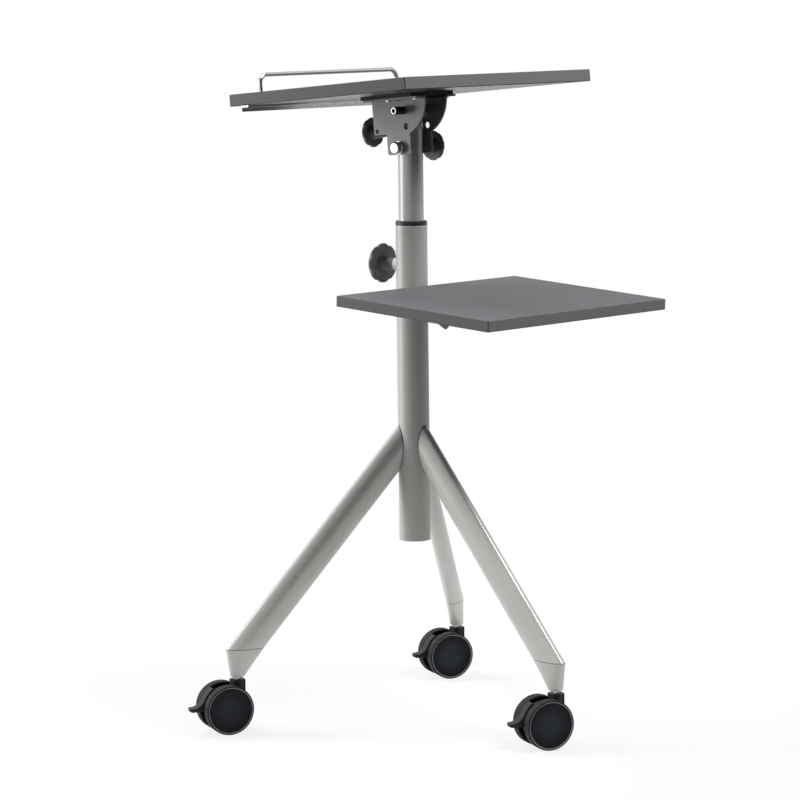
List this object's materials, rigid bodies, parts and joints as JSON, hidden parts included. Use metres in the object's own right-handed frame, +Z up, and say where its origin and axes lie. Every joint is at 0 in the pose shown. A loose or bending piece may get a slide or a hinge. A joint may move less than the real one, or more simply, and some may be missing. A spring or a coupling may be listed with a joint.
{
  "type": "portable projector stand",
  "caption": "Portable projector stand: a tilting tray on a telescopic mast and column, a fixed side shelf, and splayed oval legs on braked twin-wheel casters.",
  "frame": {"origin": "on the floor, on the axis of the upright column", "axes": "+Z up along the column, -Y towards the front leg and the shelf, X across the tray along its tilt axis"},
  "size_m": [0.5889, 0.5289, 0.9901],
  "materials": {
    "frame_paint": "satin light grey powder coat",
    "mast_paint": "satin silver-grey paint",
    "board": "dark grey melamine-faced board",
    "dark_steel": "dark grey powder coat",
    "black_steel": "black powder coat",
    "black_plastic": "satin black plastic",
    "knob_plastic": "matt black moulded plastic",
    "caster_plastic": "satin black moulded plastic",
    "wheel": "black moulded wheel, soft tread",
    "zinc": "bright zinc-plated steel",
    "chrome": "polished chrome"
  },
  "bodies": {
    "base": {"column": "frame_paint", "column_plug": "black_plastic", "collar": "black_plastic", "shelf": "board", "shelf_bracket": "dark_steel", "front_leg": "frame_paint", "front_foot": "frame_paint", "front_stem": "zinc", "right_leg": "frame_paint", "right_foot": "frame_paint", "right_stem": "zinc", "left_leg": "frame_paint", "left_foot": "frame_paint", "left_stem": "zinc"},
    "mast": {"mast": "mast_paint", "pivot_bolt": "zinc"},
    "head": {"tray": "board", "head_plate": "black_steel", "right_side_plate": "dark_steel", "left_side_plate": "dark_steel", "stop_bolt": "black_steel", "tilt_barrel": "black_steel", "tray_rail": "chrome", "rail_bar": "zinc"},
    "lock_knob": {"lock_knob": "knob_plastic"},
    "pivot_knob": {"pivot_knob": "knob_plastic"},
    "tilt_knob": {"tilt_knob": "knob_plastic"},
    "front_caster": {"front_hood": "caster_plastic"},
    "front_brake": {"front_brake": "caster_plastic"},
    "front_wheels": {"front_axle": "zinc", "front_wheel_a": "wheel", "front_wheel_b": "wheel"},
    "right_caster": {"right_hood": "caster_plastic"},
    "right_brake": {"right_brake": "caster_plastic"},
    "right_wheels": {"right_axle": "zinc", "right_wheel_a": "wheel", "right_wheel_b": "wheel"},
    "left_caster": {"left_hood": "caster_plastic"},
    "left_brake": {"left_brake": "caster_plastic"},
    "left_wheels": {"left_axle": "zinc", "left_wheel_a": "wheel", "left_wheel_b": "wheel"}
  },
  "joints": [
    {"name": "mast_slide", "type": "slide", "parent": "base", "child": "mast", "axis": [0, 0, 1], "range_m": [-0.085, 0.19]},
    {"name": "tray_tilt", "type": "hinge", "parent": "mast", "child": "head", "pos_m": [0, 0, 0.875], "axis": [-1, 0, 0], "range_deg": [-15, 10]},
    {"name": "lock_knob_turn", "type": "hinge", "parent": "base", "child": "lock_knob", "pos_m": [0, 0.0585, 0.697], "axis": [0, 1, 0], "range_deg": [0, 360]},
    {"name": "pivot_knob_turn", "type": "hinge", "parent": "mast", "child": "pivot_knob", "pos_m": [0.0475, 0, 0.875], "axis": [1, 0, 0], "range_deg": [0, 360]},
    {"name": "tilt_knob_turn", "type": "hinge", "parent": "head", "child": "tilt_knob", "pos_m": [0, 0.07596, 0.89521], "axis": [0, 0.9965, -0.0837], "range_deg": [0, 360]},
    {"name": "front_swivel", "type": "hinge", "parent": "base", "child": "front_caster", "pos_m": [0, -0.283, 0.0795], "axis": [0, 0, 1], "continuous": true},
    {"name": "front_roll", "type": "hinge", "parent": "front_caster", "child": "front_wheels", "pos_m": [-0.0194, -0.27496, 0.0375], "axis": [-0.3827, -0.9239, 0], "continuous": true},
    {"name": "front_brake_press", "type": "hinge", "parent": "front_caster", "child": "front_brake", "pos_m": [-0.03573, -0.2682, 0.05857], "axis": [-0.3827, -0.9239, 0], "range_deg": [0, 6]},
    {"name": "right_swivel", "type": "hinge", "parent": "base", "child": "right_caster", "pos_m": [0.24508, 0.1415, 0.0795], "axis": [0, 0, 1], "continuous": true},
    {"name": "right_roll", "type": "hinge", "parent": "right_caster", "child": "right_wheels", "pos_m": [0.22568, 0.14954, 0.0375], "axis": [-0.3827, -0.9239, 0], "continuous": true},
    {"name": "right_brake_press", "type": "hinge", "parent": "right_caster", "child": "right_brake", "pos_m": [0.20935, 0.1563, 0.05857], "axis": [-0.3827, -0.9239, 0], "range_deg": [0, 6]},
    {"name": "left_swivel", "type": "hinge", "parent": "base", "child": "left_caster", "pos_m": [-0.24508, 0.1415, 0.0795], "axis": [0, 0, 1], "continuous": true},
    {"name": "left_roll", "type": "hinge", "parent": "left_caster", "child": "left_wheels", "pos_m": [-0.26449, 0.14954, 0.0375], "axis": [-0.3827, -0.9239, 0], "continuous": true},
    {"name": "left_brake_press", "type": "hinge", "parent": "left_caster", "child": "left_brake", "pos_m": [-0.28082, 0.1563, 0.05857], "axis": [-0.3827, -0.9239, 0], "range_deg": [0, 6]}
  ]
}
